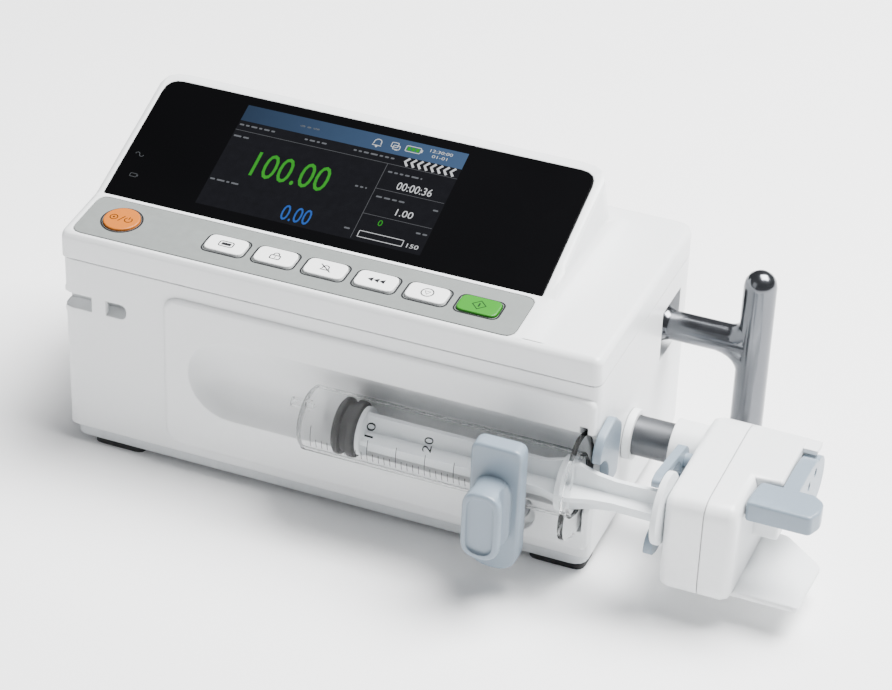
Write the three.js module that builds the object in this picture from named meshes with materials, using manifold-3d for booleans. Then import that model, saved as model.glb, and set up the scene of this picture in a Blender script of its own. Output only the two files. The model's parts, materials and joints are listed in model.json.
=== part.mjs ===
// Syringe pump: bench-top infusion pump with a loaded 30 ml syringe, a motor-driven pusher and its controls.
// Millimetres. X runs along the pump from the syringe's tip to the pusher, Y runs to the back, Z is up.
// Sizes are written in the housing's own frame: x = 0 is its left end, y = 0 its front, z = 0 the table.
import * as THREE from 'three';
import { mergeVertices } from 'three/addons/utils/BufferGeometryUtils.js';
import Module from 'manifold-3d';

const wasm = await Module();
wasm.setup();

// ---- Driving dimensions -------------------------------------------------------------------------
const GAP = 0.3; // clearance between two pieces that sit together
const RUNNING = 0.1; // radial clearance of a turning or sliding fit

const LENGTH = 222; // housing, left end to right end
const DEPTH = 112; // housing, front to back
const TRAY_BOTTOM = 2.5; // underside of the base tray
const HOUSING_BOTTOM = 8; // lower edge of the white housing
const SEAM = 85.2; // parting line of the two housing halves
const DECK = 96.5; // flat deck beside the display head
const WALL = 2.6; // lower housing wall
const TOP_WALL = 3.2; // upper housing wall
const HEAD_RIGHT = 192; // right flank of the display head
const HEAD_CORNER = 12; // rounding of its two upper corners
const SKIRT = SEAM - 12; // depth to which the upper housing is drawn before it is cut at the seam

const KEYPAD = { y: 0, z: DECK, angle: THREE.MathUtils.degToRad(5.1) }; // sloping key strip
const STRIP_DEPTH = 29; // front edge to the foot of the display
const DISPLAY_ANGLE = THREE.MathUtils.degToRad(22.1);
const DISPLAY = { y: STRIP_DEPTH, z: DECK + STRIP_DEPTH * Math.tan(KEYPAD.angle), angle: DISPLAY_ANGLE };
const DISPLAY_TOP_Y = 91.8; // top edge of the display slope

const WINDOW = { x0: 3.7, x1: 187.6, v0: 0.6, v1: 63, thickness: 1.5, corner: 7 };
const INLAY = { x0: 3.7, x1: 186.4, v0: 2.2, v1: 27.6, thickness: 0.8, corner: 4.5 };
const KEY = { width: 16.3, height: 9.8, corner: 3, rise: 0.9, depth: 6, first: 64.3, pitch: 20.8, v: 14.9 };
const POWER_KEY = { x: 19.2, v: 15.3, radius: 7.3, sides: 32 };
const KEY_NAMES = ['key_menu', 'key_lock', 'key_mute', 'key_fast', 'key_stop', 'key_start'];

const TROUGH = { y: -12, z: 47.5, radius: 20.5, start: 73 }; // channel that cradles the syringe
const PANEL = { x0: 44.5, x1: 221.4, z0: 12, z1: 79, rise: 1.8 }; // raised front panel

const SYRINGE = { y: -5.35, z: 44.3, outer: 12.8, bore: 11.5, start: 108.5, flange: 216.4, end: 218.6 };
const FLANGE_TILT = THREE.MathUtils.degToRad(21.3); // finger flange, turned from upright
const STOPPER = { start: 121.6, end: 131.2, radius: 11.2 };
const THUMB_PLATE = { x0: 250.2, x1: 252.7, radius: 14 };

const DRIVE = { y: 41.2, z: 40.5 }; // axis of the drive tube, the clutch shaft and the release lever
const TUBE = { radius: 7.8, bore: 4.3, start: 101, end: 255 };
const BUSH = { sleeve: 9.1, collar: 10 }; // radii of the bush that guides the tube through the end wall
const SHAFT_RADIUS = 4;
const CAM_RADIUS = 16; // clutch shaft to cam pin
const PIN_RADIUS = 1.8;

const HEAD = { x0: 253, seam: 268.4, x1: 280.6, y0: -12.5, z0: 12.2, z1: 54.5, round: 14, wall: 2.4 };
const HEAD_BEVEL = 3.6; // rounding of the head's left and right edges
const HUB_BOX = { x1: 290.2, y0: 14.2, z0: 27 }; // step of the pusher head behind the paddle
const WING = { x1: 306, y0: -5, y1: 38, z0: 12.2, z1: 14.6 };
const LEVER = { x0: 290.6, x1: 297, hubRadius: 9.5 };
const PADDLE = { x0: 281.1, x1: 308, y0: -3, y1: 12.4, z0: 46, z1: 54.2 };
const CLAW = { x0: 246.4, x1: 249.8, y: 24.23, upperZ: 46.5, lowerZ: 34.5, hub: 5, shaft: 3 };

const PRESSURE_ANGLE = THREE.MathUtils.degToRad(20);
const ADDENDUM = 0.85; // tooth height above the pitch circle
const DEDENDUM = 1.2; // tooth depth below the pitch circle
const TOOTH_PLAY = 0.18; // tooth thinning on the pitch circle
const SCREW_TEETH = 30;
const PINION_TEETH = 12;
const CLAW_TEETH = 12;
const LEVER_TEETH = 24;
const CLAW_PHASE = Math.atan2(DRIVE.z - CLAW.upperZ, DRIVE.y - CLAW.y); // upper claw axis to drive axis
const LEVER_SCREWS = [[36, 47.2], [27.5, 46.2]]; // [y, z] of the screws that hold the paddle arm

const SCREW = { y: 26.3, z: 60, radius: 5, journal: 3, bearing: 7 };
const MOTOR = { y: 47.3, z: 60, size: 28 };
const GUIDE = { y: 62, z: 40.5, radius: 4 };
const CARRIAGE = { x0: 100, x1: 126, y0: 30.4, y1: 70, z0: 28, z1: 50 };
const HALF_NUT = { x0: 104, x1: 118, jawY0: 20, jawY1: 33, jawZ0: 54.5 };
const FRAME = { y0: 14, y1: 72, z0: 9.5, z1: 76, sheet: 2.5, plates: [66, 78, 205] };

const CLAMP = { x: 192.5, z: 22.5, stem: 4.5, neck: 3, front: -26, back: -18.5, knobFront: -39 };
const HANDLE = { y: 86, z: 64.3, armRadius: 5.9, barRadius: 6.5, barX: 256.5, barTop: 97, barBottom: 16 };
const POCKET = { y0: 75.2, y1: 97, z0: 53.4, z1: 75.2, depth: 5 };
const LINE_GUIDE = { x1: 28, z0: 63, z1: 69.5, depth: 7.5, bridge0: 12.9, bridge1: 19.1 };
const BASE_SCREWS = {
  front_left: [40, 7.5],
  front_right: [178, 7.5],
  rear_left: [40, 104.5],
  rear_right: [178, 104.5],
};
const FEET = { front_left: [10, 2.2], front_right: [197, 2.2], rear_left: [10, 95], rear_right: [197, 95] };
const FOOT_SIZE = [22.5, 15];
const INLET = { x0: 26, x1: 62, z0: 26, z1: 50 };
const PORT = { x0: 76, x1: 92, z0: 30, z1: 44 };
const BOSS_TOP = 22; // top of the screw bosses in the lower housing
const SPEAKER = { x: 150, z: 46, radius: 14 };
const BATTERY = { x0: 98, x1: 170, y0: 74, y1: 101 };

const REACH_FRONT = CLAMP.knobFront; // foremost point, the clamp knob
const REACH_BACK = DEPTH + 2.3; // rearmost point, the inlet flange

// ---- Shape helpers ------------------------------------------------------------------------------

// Closed outline through [u, v, cut] corners; each corner is rounded off over the length cut.
function outline(corners) {
  const shape = new THREE.Shape();
  corners.forEach(([u, v, cut = 0], i) => {
    const corner = new THREE.Vector2(u, v);
    const before = new THREE.Vector2(...corners.at(i - 1)).sub(corner).setLength(cut).add(corner);
    const next = corners[(i + 1) % corners.length];
    const after = new THREE.Vector2(...next).sub(corner).setLength(cut).add(corner);
    if (i === 0) {
      shape.moveTo(before.x, before.y);
    } else {
      shape.lineTo(before.x, before.y);
    }
    if (cut > 0) {
      shape.quadraticCurveTo(u, v, after.x, after.y);
    }
  });
  return shape;
}

function roundedRect(u0, u1, v0, v1, cuts) {
  const [a, b, c, d] = Array.isArray(cuts) ? cuts : [cuts, cuts, cuts, cuts];
  return outline([[u0, v0, a], [u1, v0, b], [u1, v1, c], [u0, v1, d]]);
}

function circle(u, v, radius, sides) {
  const points = Array.from({ length: sides }, (_, i) => {
    const angle = 2 * Math.PI * i / sides;
    return new THREE.Vector2(u + radius * Math.cos(angle), v + radius * Math.sin(angle));
  });
  return new THREE.Shape(points);
}

// Moves every edge of a counter-clockwise polygon inwards by the same distance.
function inset(corners, distance) {
  const edges = corners.map((corner, i) => {
    const from = new THREE.Vector2(corner[0], corner[1]);
    const along = new THREE.Vector2(...corners[(i + 1) % corners.length]).sub(from).normalize();
    return { from: from.add(new THREE.Vector2(-along.y, along.x).multiplyScalar(distance)), along };
  });
  return corners.map((corner, i) => {
    const a = edges.at(i - 1);
    const b = edges[i];
    const offset = b.from.clone().sub(a.from);
    const t = offset.cross(b.along) / a.along.cross(b.along);
    return [a.from.x + t * a.along.x, a.from.y + t * a.along.y, corner[2] ?? 0];
  });
}

// Gear of 1 mm module: cutTeeth teeth from the phase angle on, and a plain rim round the rest.
function gearOutline(teeth, phase, y, z, cutTeeth = teeth) {
  const pitch = teeth / 2;
  const base = pitch * Math.cos(PRESSURE_ANGLE);
  const involute = (angle) => Math.tan(angle) - angle;
  const atPitch = (Math.PI / 2 - TOOTH_PLAY) / (2 * pitch) + involute(PRESSURE_ANGLE);
  const halfTooth = (radius) => atPitch - involute(Math.acos(Math.min(1, base / radius)));
  const flank = [pitch - DEDENDUM, pitch - 0.2, pitch + ADDENDUM];
  const points = [];
  for (let tooth = 0; tooth < teeth; tooth += 1) {
    const centre = phase + 2 * Math.PI * tooth / teeth;
    const side = tooth < cutTeeth ? flank : flank.slice(0, 1);
    const polar = [
      ...side.map((radius) => [radius, centre - halfTooth(radius)]),
      ...side.toReversed().map((radius) => [radius, centre + halfTooth(radius)]),
    ];
    for (const [radius, angle] of polar) {
      points.push(new THREE.Vector2(y + radius * Math.cos(angle), z + radius * Math.sin(angle)));
    }
  }
  return new THREE.Shape(points);
}

// ---- Solid helpers ------------------------------------------------------------------------------

function solid(geometry) {
  const bare = geometry.clone();
  bare.deleteAttribute('normal');
  bare.deleteAttribute('uv');
  const merged = mergeVertices(bare);
  const triangles = [];
  for (let i = 0; i < merged.index.count; i += 3) {
    const [a, b, c] = [0, 1, 2].map((corner) => merged.index.getX(i + corner));
    if (a !== b && b !== c && c !== a) {
      triangles.push(a, b, c);
    }
  }
  return new wasm.Manifold(new wasm.Mesh({
    numProp: 3,
    vertProperties: Float32Array.from(merged.attributes.position.array),
    triVerts: Uint32Array.from(triangles),
  }));
}

function join(first, ...others) {
  return others.reduce((whole, piece) => whole.add(piece), first);
}

function cut(whole, ...tools) {
  return tools.reduce((rest, tool) => rest.subtract(tool), whole);
}

function extrusion(shape, length, bevel, curveSegments) {
  return new THREE.ExtrudeGeometry(shape, {
    depth: length - 2 * bevel,
    curveSegments,
    bevelEnabled: bevel > 0,
    bevelThickness: bevel,
    bevelSize: bevel,
    bevelOffset: -bevel,
    bevelSegments: 2,
  }).translate(0, 0, bevel);
}

const [X, Y, Z] = [new THREE.Vector3(1, 0, 0), new THREE.Vector3(0, 1, 0), new THREE.Vector3(0, 0, 1)];
const ALONG_X = new THREE.Matrix4().makeBasis(Y, Z, X);
const ALONG_Y = new THREE.Matrix4().makeBasis(X, Z, Y.clone().negate());

// Prism of a (y, z) outline between two x values.
function alongX(shape, x0, x1, bevel = 0, curveSegments = 4) {
  return solid(extrusion(shape, x1 - x0, bevel, curveSegments).applyMatrix4(ALONG_X).translate(x0, 0, 0));
}

// Prism of an (x, z) outline between two y values.
function alongY(shape, y0, y1, bevel = 0, curveSegments = 4) {
  return solid(extrusion(shape, y1 - y0, bevel, curveSegments).applyMatrix4(ALONG_Y).translate(0, y1, 0));
}

// Prism of an (x, y) outline between two z values.
function alongZ(shape, z0, z1, bevel = 0, curveSegments = 4) {
  return solid(extrusion(shape, z1 - z0, bevel, curveSegments).translate(0, 0, z0));
}

// Prism of an (x, v) outline on a sloping surface, between two heights along the surface's normal.
function onSlope(plane, shape, w0, w1, bevel = 0, curveSegments = 4) {
  const geometry = extrusion(shape, w1 - w0, bevel, curveSegments).translate(0, 0, w0);
  return solid(geometry.rotateX(plane.angle).translate(0, plane.y, plane.z));
}

function block(x0, x1, y0, y1, z0, z1) {
  const box = new THREE.BoxGeometry(x1 - x0, y1 - y0, z1 - z0);
  return solid(box.translate((x0 + x1) / 2, (y0 + y1) / 2, (z0 + z1) / 2));
}

// Round bar along an axis; centre holds its two other coordinates in x, y, z order.
function bar(axis, radius, start, end, [p, q], segments = 28) {
  const geometry = new THREE.CylinderGeometry(radius, radius, end - start, segments);
  const middle = (start + end) / 2;
  if (axis === 'x') {
    return solid(geometry.rotateZ(-Math.PI / 2).translate(middle, p, q));
  }
  if (axis === 'y') {
    return solid(geometry.translate(p, middle, q));
  }
  return solid(geometry.rotateX(Math.PI / 2).translate(p, q, middle));
}

// Turned piece along X from a closed [radius, x] profile.
function turnedX(profile, { y, z }, segments = 28) {
  const points = profile.map(([radius, x]) => new THREE.Vector2(radius, x));
  return solid(new THREE.LatheGeometry(points, segments).rotateZ(-Math.PI / 2).translate(0, y, z));
}

// ---- Assembly -----------------------------------------------------------------------------------

const group = new THREE.Group();
const assembly = new THREE.Group();
assembly.position.set(-PADDLE.x1 / 2, -(REACH_FRONT + REACH_BACK) / 2, 0);
group.add(assembly);

const FINISHES = {
  white_plastic: { color: 0xeceeee, roughness: 0.45, metalness: 0 },
  grey_plastic: { color: 0xb4bac0, roughness: 0.5, metalness: 0 },
  clamp_plastic: { color: 0x9fadb6, roughness: 0.45, metalness: 0 },
  black_plastic: { color: 0x17181a, roughness: 0.5, metalness: 0 },
  black_glass: { color: 0x050506, roughness: 0.08, metalness: 0 },
  inlay_film: { color: 0xbabebc, roughness: 0.6, metalness: 0 },
  key_white: { color: 0xf2f4f3, roughness: 0.5, metalness: 0 },
  key_orange: { color: 0xeba654, roughness: 0.5, metalness: 0 },
  key_green: { color: 0x6cbe3a, roughness: 0.5, metalness: 0 },
  rubber: { color: 0x141414, roughness: 0.9, metalness: 0 },
  chrome: { color: 0xd5d8dc, roughness: 0.15, metalness: 1 },
  steel: { color: 0xb0b3b6, roughness: 0.3, metalness: 1 },
  aluminium: { color: 0xc2c4c6, roughness: 0.4, metalness: 1 },
  drive_tube: { color: 0x8b8e92, roughness: 0.4, metalness: 0.6 },
  brass: { color: 0xc9a24f, roughness: 0.35, metalness: 1 },
  circuit_board: { color: 0x1f6a3c, roughness: 0.6, metalness: 0 },
  clear_plastic: { color: 0xdfe4e8, roughness: 0.15, metalness: 0, transparent: true, opacity: 0.45 },
};

function add(name, manifold, finish) {
  const { vertProperties, triVerts } = manifold.getMesh();
  const geometry = new THREE.BufferGeometry();
  geometry.setAttribute('position', new THREE.BufferAttribute(Float32Array.from(vertProperties), 3));
  geometry.setIndex(new THREE.BufferAttribute(Uint32Array.from(triVerts), 1));
  geometry.computeVertexNormals();
  const mesh = new THREE.Mesh(geometry, new THREE.MeshStandardMaterial(FINISHES[finish]));
  mesh.name = name;
  assembly.add(mesh);
}

// ---- Base ---------------------------------------------------------------------------------------

function baseTray() {
  const floor = TRAY_BOTTOM + 2.5;
  const rim = HOUSING_BOTTOM - GAP;
  let tray = alongZ(roundedRect(2, LENGTH - 2, 2, DEPTH - 2, 6), TRAY_BOTTOM, rim);
  tray = cut(tray, alongZ(roundedRect(4.6, LENGTH - 4.6, 4.6, DEPTH - 4.6, 4), floor, rim + 1));
  tray = cut(tray, block(BATTERY.x0, BATTERY.x1, BATTERY.y0, BATTERY.y1, 0, floor + 1));
  for (const spot of Object.values(BASE_SCREWS)) {
    tray = join(tray, bar('z', 5, TRAY_BOTTOM, rim, spot, 16));
    tray = cut(tray, bar('z', 3.4, 0, TRAY_BOTTOM + 2, spot, 16), bar('z', 1.8, 0, rim + 1, spot, 12));
  }
  return tray;
}

function baseScrew(spot) {
  const head = bar('z', 3, TRAY_BOTTOM + 0.4, TRAY_BOTTOM + 1.7, spot, 16);
  return join(head, bar('z', 1.5, TRAY_BOTTOM + 1, 18, spot, 12));
}

function foot([x, y]) {
  return alongZ(roundedRect(x, x + FOOT_SIZE[0], y, y + FOOT_SIZE[1], 4), 0, TRAY_BOTTOM - GAP);
}

add('base_tray', baseTray(), 'grey_plastic');
for (const [corner, spot] of Object.entries(FEET)) {
  add(`foot_${corner}`, foot(spot), 'rubber');
}
for (const [corner, spot] of Object.entries(BASE_SCREWS)) {
  add(`base_screw_${corner}`, baseScrew(spot), 'steel');
}
const coverOutline = roundedRect(
  BATTERY.x0 + GAP, BATTERY.x1 - GAP, BATTERY.y0 + GAP, BATTERY.y1 - GAP, 1);
add('battery_cover', alongZ(coverOutline, TRAY_BOTTOM + 0.2, TRAY_BOTTOM + 2.2, 0, 2), 'grey_plastic');

// ---- Lower housing ------------------------------------------------------------------------------

function troughSolid(radius) {
  const centre = [TROUGH.y, TROUGH.z];
  return join(
    bar('x', radius, TROUGH.start, LENGTH + 20, centre, 40),
    solid(new THREE.SphereGeometry(radius, 40, 16).rotateZ(Math.PI / 2).translate(TROUGH.start, ...centre)),
  );
}

function housingOutline(margin) {
  return roundedRect(margin, LENGTH - margin, margin, DEPTH - margin, [5, 4, 8, 8]);
}

function speakerSlots() {
  const slots = [];
  for (let i = -3; i <= 3; i += 1) {
    const half = Math.sqrt(SPEAKER.radius ** 2 - (i * 3.6) ** 2) - 1;
    const x = SPEAKER.x + i * 3.6;
    slots.push(block(x - 0.9, x + 0.9, DEPTH - 4, DEPTH + 1, SPEAKER.z - half, SPEAKER.z + half));
  }
  return slots;
}

// Slot for the infusion line, or the lining that closes it off inside the housing.
function lineGuideBlock(margin) {
  const { x1, z0, z1, depth } = LINE_GUIDE;
  const guide = roundedRect(margin > 0 ? 1 : -2, x1 + margin, z0 - margin, z1 + margin, [0.5, 3, 3, 0.5]);
  return alongY(guide, margin > 0 ? 1 : -5, depth + margin);
}

function lowerHousing() {
  const top = SEAM - GAP / 2;
  const panel = roundedRect(PANEL.x0, PANEL.x1, PANEL.z0, PANEL.z1, [8, 3, 3, 7]);
  const outside = join(
    alongZ(housingOutline(0), HOUSING_BOTTOM, top),
    alongY(panel, -PANEL.rise, 4, 1.5),
  );
  const cavity = cut(alongZ(housingOutline(WALL), 0, SEAM + 2), troughSolid(TROUGH.radius + WALL));
  let shell = cut(outside, troughSolid(TROUGH.radius), cavity);

  const { y0, y1, z0, z1, depth } = POCKET;
  const pocketLining = block(LENGTH - depth - WALL, LENGTH - 0.5, y0 - WALL, y1 + WALL, z0 - WALL, z1 + WALL);
  shell = join(shell, pocketLining, lineGuideBlock(WALL), bar('y', 10.5, 1, 7, [CLAMP.x, CLAMP.z]));
  for (const [x, y] of Object.values(BASE_SCREWS)) {
    const wallY = y < DEPTH / 2 ? 1 : DEPTH - 1;
    const web = block(x - 2, x + 2, Math.min(y, wallY), Math.max(y, wallY), HOUSING_BOTTOM, BOSS_TOP);
    shell = join(shell, bar('z', 4.5, HOUSING_BOTTOM, BOSS_TOP, [x, y], 16), web);
    shell = cut(shell, bar('z', 1.8, 0, BOSS_TOP - 2, [x, y], 12));
  }

  const { bridge0, bridge1 } = LINE_GUIDE;
  const bridge = block(bridge0, bridge1, -5, 2.2, LINE_GUIDE.z0 - 1, LINE_GUIDE.z1 + 1);
  return cut(
    shell,
    cut(lineGuideBlock(0), bridge),
    block(SYRINGE.flange - 0.5, SYRINGE.end + 0.5, -5, 11.5, 21, 68),
    bar('y', 8, -5, 2, [CLAMP.x, CLAMP.z]),
    bar('y', CLAMP.stem + 0.3, -5, 10, [CLAMP.x, CLAMP.z]),
    bar('x', BUSH.sleeve + GAP, LENGTH - 8, LENGTH + 5, [DRIVE.y, DRIVE.z]),
    block(LENGTH - depth, LENGTH + 5, y0, y1, z0, z1),
    bar('x', HANDLE.armRadius + 0.5, LENGTH - 10, LENGTH, [HANDLE.y, HANDLE.z]),
    block(INLET.x0, INLET.x1, DEPTH - 6, DEPTH + 5, INLET.z0, INLET.z1),
    block(PORT.x0, PORT.x1, DEPTH - 6, DEPTH + 5, PORT.z0, PORT.z1),
    ...speakerSlots(),
  );
}

add('lower_housing', lowerHousing(), 'white_plastic');

// ---- Upper housing ------------------------------------------------------------------------------

function headProfile() {
  const top = DISPLAY.z + (DISPLAY_TOP_Y - DISPLAY.y) * Math.tan(DISPLAY.angle);
  return [
    [0, SKIRT],
    [DEPTH, SKIRT],
    [DEPTH, SEAM + 2, 6],
    [DEPTH - 4, DECK + 3, 6],
    [DISPLAY_TOP_Y + 1, top, 3.5],
    [DISPLAY.y, DISPLAY.z, 2],
    [0, DECK, 3.4],
  ];
}

// Prism square to the display that rounds off the head's two upper corners.
function headCorners(margin) {
  const top = (DISPLAY_TOP_Y - DISPLAY.y) / Math.cos(DISPLAY.angle) - margin;
  const face = roundedRect(margin, HEAD_RIGHT - margin, -60, top, [0, 0, HEAD_CORNER, HEAD_CORNER]);
  return onSlope(DISPLAY, face, -80, 10);
}

function keyHoles() {
  const outlines = KEY_NAMES.map((name, i) => keyOutline(KEY.first + i * KEY.pitch, GAP));
  return [...outlines, circle(POWER_KEY.x, POWER_KEY.v, POWER_KEY.radius + GAP, POWER_KEY.sides)];
}

function keyOutline(x, margin) {
  const halfWidth = KEY.width / 2 + margin;
  const halfHeight = KEY.height / 2 + margin;
  return roundedRect(x - halfWidth, x + halfWidth, KEY.v - halfHeight, KEY.v + halfHeight, KEY.corner);
}

function windowOutline(margin) {
  const { x0, x1, v0, v1, corner } = WINDOW;
  return roundedRect(x0 - margin, x1 + margin, v0 - margin, v1 + margin, [1, 1, corner, corner]);
}

function inlayOutline(margin) {
  const { x0, x1, v0, v1, corner } = INLAY;
  return roundedRect(x0 - margin, x1 + margin, v0 - margin, v1 + margin, corner);
}

// Hollow-sided strip that eases the head's flank into the deck and runs out towards the back.
function flankFillet() {
  const radius = 7;
  const inner = HEAD_RIGHT - 4;
  const outer = HEAD_RIGHT + radius;
  const foot = DECK + 0.05;
  const wedge = outline([[inner, DECK - 3], [outer, DECK - 3], [outer, foot], [inner, foot + outer - inner]]);
  const hollow = circle(outer, DECK + radius, radius, 48);
  const strip = cut(alongY(wedge, 3, DEPTH - 6), alongY(hollow, 0, DEPTH));
  const runOut = outline([
    [0, DECK - 4],
    [DEPTH - 6, DECK - 4],
    [DEPTH - 10, DECK + 0.2],
    [78, DECK + 9],
    [0, DECK + 9],
  ]);
  const [profile, slope] = [outline(headProfile()), runOut].map((shape) => alongX(shape, inner, outer));
  return strip.intersect(profile).intersect(slope);
}

function upperHousing() {
  const profile = headProfile();
  const outside = join(
    alongX(outline(profile), 0, HEAD_RIGHT, 2.2).intersect(headCorners(0)),
    alongZ(housingOutline(0), SKIRT, DECK, 2.5),
    flankFillet(),
  );
  const inner = alongX(outline(inset(profile, TOP_WALL)), TOP_WALL, HEAD_RIGHT - TOP_WALL);
  const cavity = join(
    inner.intersect(headCorners(TOP_WALL)),
    alongZ(housingOutline(TOP_WALL), SKIRT, DECK - TOP_WALL),
  );
  const shell = cut(outside, cavity, block(-5, LENGTH + 5, -5, DEPTH + 5, 0, SEAM + GAP / 2));
  return cut(
    shell,
    onSlope(DISPLAY, windowOutline(GAP), -WINDOW.thickness - GAP, 6),
    onSlope(KEYPAD, inlayOutline(GAP), -INLAY.thickness - GAP, 1.5),
    ...keyHoles().map((hole) => onSlope(KEYPAD, hole, -10, 3)),
  );
}

add('upper_housing', upperHousing(), 'white_plastic');

// ---- Display and keypad -------------------------------------------------------------------------

function keypadInlay() {
  const film = onSlope(KEYPAD, inlayOutline(0), -INLAY.thickness, 0);
  return cut(film, ...keyHoles().map((hole) => onSlope(KEYPAD, hole, -5, 5)));
}

// Switch board with one dome under each key.
function keypadBoard() {
  const domes = KEY_NAMES.map((name, i) => [KEY.first + i * KEY.pitch, KEY.v]);
  domes.push([POWER_KEY.x, POWER_KEY.v]);
  const board = onSlope(KEYPAD, roundedRect(8, 184, 4.5, 25.5, 2), -9.8, -8.2, 0, 2);
  return join(board, ...domes.map(([x, v]) => onSlope(KEYPAD, circle(x, v, 3, 10), -9, -7.1)));
}

add('display_window', onSlope(DISPLAY, windowOutline(0), -WINDOW.thickness, 0), 'black_glass');
add('lcd_module', onSlope(DISPLAY, roundedRect(36, 142, 3, 61, 1), -7.5, -3.6, 0, 2), 'black_plastic');
add('keypad_inlay', keypadInlay(), 'inlay_film');
add('keypad_board', keypadBoard(), 'circuit_board');
KEY_NAMES.forEach((name, i) => {
  const key = onSlope(KEYPAD, keyOutline(KEY.first + i * KEY.pitch, 0), -KEY.depth, KEY.rise, 0.4, 4);
  add(name, key, name === 'key_start' ? 'key_green' : 'key_white');
});
const powerOutline = circle(POWER_KEY.x, POWER_KEY.v, POWER_KEY.radius, POWER_KEY.sides);
add('key_power', onSlope(KEYPAD, powerOutline, -KEY.depth, KEY.rise, 0.4), 'key_orange');

// ---- Right end: tube bush, flange holder, carrying handle ---------------------------------------

function tubeBush() {
  const centre = [DRIVE.y, DRIVE.z];
  const sleeve = bar('x', BUSH.sleeve, LENGTH - 8, LENGTH + 1, centre, 32);
  const collar = bar('x', BUSH.collar, LENGTH + GAP, LENGTH + 3.4, centre, 40);
  return cut(join(sleeve, collar), bar('x', TUBE.radius + RUNNING, LENGTH - 10, LENGTH + 10, centre, 40));
}

function flangeHolder() {
  const cheek = outline([
    [-4.5, 41, 3],
    [17, 38, 3],
    [19.5, 60, 3],
    [11, 67.5, 3],
    [-1, 65, 2],
    [-5.5, 60, 3],
  ]);
  const notch = bar('x', SYRINGE.bore, LENGTH - 2, LENGTH + 8, [SYRINGE.y, SYRINGE.z]);
  return cut(alongX(cheek, LENGTH + GAP, LENGTH + 3.8, 0.6, 3), notch);
}

// One-armed T handle: flared root, domed ends, and a round corner above and below the arm.
function carryHandle() {
  const { y, z, armRadius, barRadius, barX, barTop, barBottom } = HANDLE;
  const wallX = LENGTH - POCKET.depth;
  const arm = turnedX([
    [0, wallX - 4],
    [armRadius, wallX - 4],
    [armRadius, wallX + GAP],
    [armRadius + 3.6, wallX + GAP],
    [armRadius + 3, wallX + 1.4],
    [armRadius + 1, wallX + 3.4],
    [armRadius, wallX + 6],
    [armRadius, barX],
    [0, barX],
  ], { y, z });
  const upright = bar('z', barRadius, barBottom + barRadius, barTop - barRadius, [barX, y]);
  const elbows = [-18, 13].map((reach) => {
    const bend = new THREE.QuadraticBezierCurve3(
      new THREE.Vector3(barX - Math.abs(reach), y, z),
      new THREE.Vector3(barX, y, z),
      new THREE.Vector3(barX, y, z + reach),
    );
    const options = { steps: 8, extrudePath: bend, bevelEnabled: false };
    return solid(new THREE.ExtrudeGeometry(circle(0, 0, armRadius - 0.15, 20), options));
  });
  const domes = [barBottom + barRadius, barTop - barRadius].map((height) => solid(
    new THREE.SphereGeometry(barRadius, 28, 8).rotateX(Math.PI / 2).translate(barX, y, height)));
  return join(arm, upright, ...domes, ...elbows);
}

add('tube_bush', tubeBush(), 'white_plastic');
add('flange_holder', flangeHolder(), 'clamp_plastic');
add('carry_handle', carryHandle(), 'chrome');

// ---- Rear panel fittings ------------------------------------------------------------------------

function mainsInlet() {
  const { x0, x1, z0, z1 } = INLET;
  const flange = alongY(roundedRect(x0 - 4, x1 + 4, z0 - 3, z1 + 3, 3), DEPTH + GAP, REACH_BACK, 0.5, 3);
  const body = block(x0 + GAP, x1 - GAP, DEPTH - 16, DEPTH + 1, z0 + GAP, z1 - GAP);
  const socket = alongY(roundedRect(x0 + 4, x1 - 4, z0 + 4, z1 - 4, [2, 2, 6, 6]), DEPTH - 14, DEPTH + 5);
  const middle = (x0 + x1) / 2;
  const pins = [[-7, -2], [0, 3], [7, -2]].map(([dx, dz]) => {
    const z = (z0 + z1) / 2 + dz;
    return block(middle + dx - 1, middle + dx + 1, DEPTH - 15, DEPTH - 3, z - 2, z + 2);
  });
  return join(cut(join(flange, body), socket), ...pins);
}

function dataPort() {
  const { x0, x1, z0, z1 } = PORT;
  const body = block(x0 + GAP, x1 - GAP, DEPTH - 14, DEPTH - GAP, z0 + GAP, z1 - GAP);
  const socket = block(x0 + 2, x1 - 2, DEPTH - 11, DEPTH + 1, z0 + 3, z1 - 2);
  const latch = block(x0 + 5, x1 - 5, DEPTH - 11, DEPTH + 1, z0 + 1.5, z1 - 3);
  return cut(body, socket, latch);
}

function speaker() {
  const { x, z, radius } = SPEAKER;
  const magnet = bar('y', radius / 2, DEPTH - 10, DEPTH - 5, [x, z], 24);
  return join(bar('y', radius, DEPTH - 6, DEPTH - WALL - GAP, [x, z]), magnet);
}

add('mains_inlet', mainsInlet(), 'black_plastic');
add('data_port', dataPort(), 'black_plastic');
add('speaker', speaker(), 'black_plastic');

// ---- Electronics --------------------------------------------------------------------------------

function mainBoard() {
  const board = block(12, 188, 60, 106, 79, 80.6);
  const processor = block(30, 50, 66, 86, 80, 83);
  const memory = block(90, 112, 70, 92, 80, 82.5);
  const connector = block(150, 180, 96, 104, 80, 84);
  return join(board, processor, memory, connector);
}

function powerBoard() {
  const board = block(12, 92, 76, 92, 14, 15.6);
  const transformer = block(16, 36, 78, 90, 15, 32);
  const capacitor = bar('z', 5, 15, 34, [52, 84], 20);
  const heatSink = block(66, 86, 79, 89, 15, 26);
  return join(board, transformer, capacitor, heatSink);
}

add('main_board', mainBoard(), 'circuit_board');
add('power_board', powerBoard(), 'circuit_board');
const packOutline = roundedRect(BATTERY.x0 + 2, BATTERY.x1 - 2, BATTERY.y0 + 1, BATTERY.y1 - 1, 3);
add('battery_pack', alongZ(packOutline, 9, 42, 1), 'black_plastic');

// ---- Drive: frame, motor, lead screw, carriage --------------------------------------------------

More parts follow.
